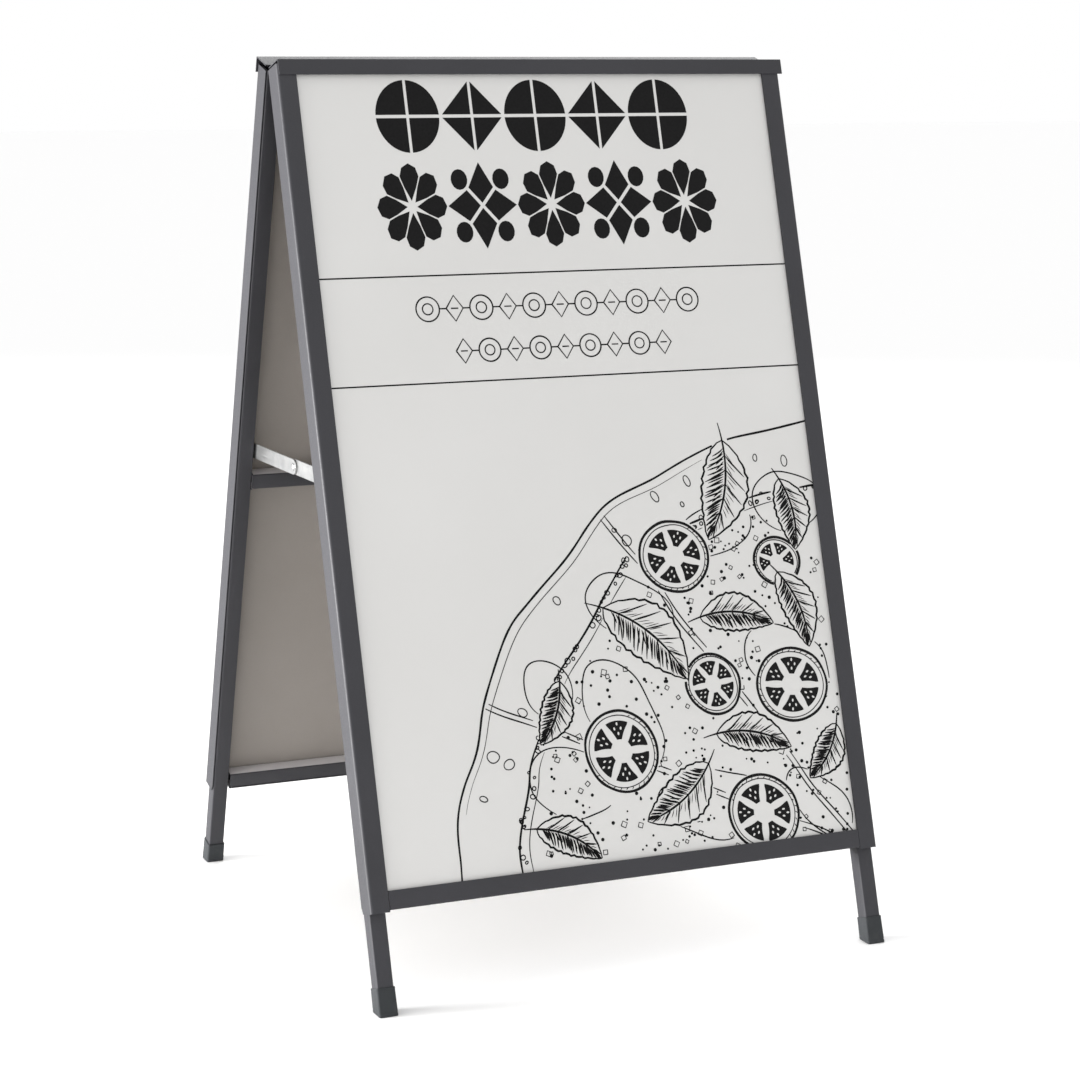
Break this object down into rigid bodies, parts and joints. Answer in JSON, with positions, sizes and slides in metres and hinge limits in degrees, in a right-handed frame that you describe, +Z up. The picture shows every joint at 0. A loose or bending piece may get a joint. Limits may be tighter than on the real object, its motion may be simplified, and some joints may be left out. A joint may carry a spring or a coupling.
{
  "type": "folding sandwich board sign",
  "caption": "Folding A-frame pavement sign: hinged steel tube leaves with clasping channels, cap angles, printed boards, rubber feet and folding side stays.",
  "frame": {"origin": "centre of the footprint, on the ground plane under the hinge line", "axes": "+Z up, X along the hinge line, the front leaf faces -Y, sign standing open"},
  "size_m": [0.6355, 0.6514, 1.0167],
  "materials": {
    "frame_paint": "satin powder coat",
    "printed_sheet": "printed, semi-matt",
    "backing_sheet": "plain, matt",
    "zinc_plate": "bright zinc plate",
    "foot_rubber": "matt",
    "spacer_nylon": "matt"
  },
  "bodies": {
    "rear_leaf": {"rear_leg_left": "frame_paint", "rear_side_channel_left": "frame_paint", "rear_foot_left": "foot_rubber", "rear_cap_screw_left": "zinc_plate", "rear_cap_spacer_left": "spacer_nylon", "rear_leg_right": "frame_paint", "rear_side_channel_right": "frame_paint", "rear_foot_right": "foot_rubber", "rear_cap_screw_right": "zinc_plate", "rear_cap_spacer_right": "spacer_nylon", "rear_top_bar": "frame_paint", "rear_middle_bar": "frame_paint", "rear_bottom_bar": "frame_paint", "rear_bottom_channel": "frame_paint", "rear_top_cap": "frame_paint", "rear_backing_panel": "backing_sheet", "rear_printed_board": "printed_sheet", "hinge_left_rear_leaf": "zinc_plate", "hinge_left_pin": "zinc_plate", "stay_left_rear_pivot": "zinc_plate", "hinge_right_rear_leaf": "zinc_plate", "hinge_right_pin": "zinc_plate", "stay_right_rear_pivot": "zinc_plate"},
    "front_leaf": {"front_leg_left": "frame_paint", "front_side_channel_left": "frame_paint", "front_foot_left": "foot_rubber", "front_cap_screw_left": "zinc_plate", "front_cap_spacer_left": "spacer_nylon", "front_leg_right": "frame_paint", "front_side_channel_right": "frame_paint", "front_foot_right": "foot_rubber", "front_cap_screw_right": "zinc_plate", "front_cap_spacer_right": "spacer_nylon", "front_top_bar": "frame_paint", "front_middle_bar": "frame_paint", "front_bottom_bar": "frame_paint", "front_bottom_channel": "frame_paint", "front_top_cap": "frame_paint", "front_backing_panel": "backing_sheet", "front_printed_board": "printed_sheet", "hinge_left_front_leaf": "zinc_plate", "stay_left_front_pivot": "zinc_plate", "hinge_right_front_leaf": "zinc_plate", "stay_right_front_pivot": "zinc_plate"},
    "stay_left_rear": {"stay_left_rear_bar": "zinc_plate", "stay_left_rivet_head": "zinc_plate"},
    "stay_left_front": {"stay_left_front_bar": "zinc_plate", "stay_left_rivet_tail": "zinc_plate"},
    "stay_right_rear": {"stay_right_rear_bar": "zinc_plate", "stay_right_rivet_head": "zinc_plate"},
    "stay_right_front": {"stay_right_front_bar": "zinc_plate", "stay_right_rivet_tail": "zinc_plate"}
  },
  "joints": [
    {"name": "fold", "type": "hinge", "parent": "rear_leaf", "child": "front_leaf", "pos_m": [0, 0, 1.00438], "axis": [1, 0, 0], "range_deg": [0, 33.4]},
    {"name": "stay_left_rear_swing", "type": "hinge", "parent": "rear_leaf", "child": "stay_left_rear", "pos_m": [0, 0.14804, 0.5534], "axis": [1, 0, 0], "range_deg": [-68.6, 0]},
    {"name": "stay_left_front_swing", "type": "hinge", "parent": "front_leaf", "child": "stay_left_front", "pos_m": [0, -0.14804, 0.5534], "axis": [1, 0, 0], "range_deg": [0, 68.6]},
    {"name": "stay_right_rear_swing", "type": "hinge", "parent": "rear_leaf", "child": "stay_right_rear", "pos_m": [0, 0.14804, 0.5534], "axis": [1, 0, 0], "range_deg": [-68.6, 0]},
    {"name": "stay_right_front_swing", "type": "hinge", "parent": "front_leaf", "child": "stay_right_front", "pos_m": [0, -0.14804, 0.5534], "axis": [1, 0, 0], "range_deg": [0, 68.6]}
  ],
  "couplings": [
    {"joint": "stay_left_rear_swing", "follows": "fold", "ratio": -2.0531},
    {"joint": "stay_left_front_swing", "follows": "fold", "ratio": 2.0531},
    {"joint": "stay_right_rear_swing", "follows": "fold", "ratio": -2.0531},
    {"joint": "stay_right_front_swing", "follows": "fold", "ratio": 2.0531}
  ]
}
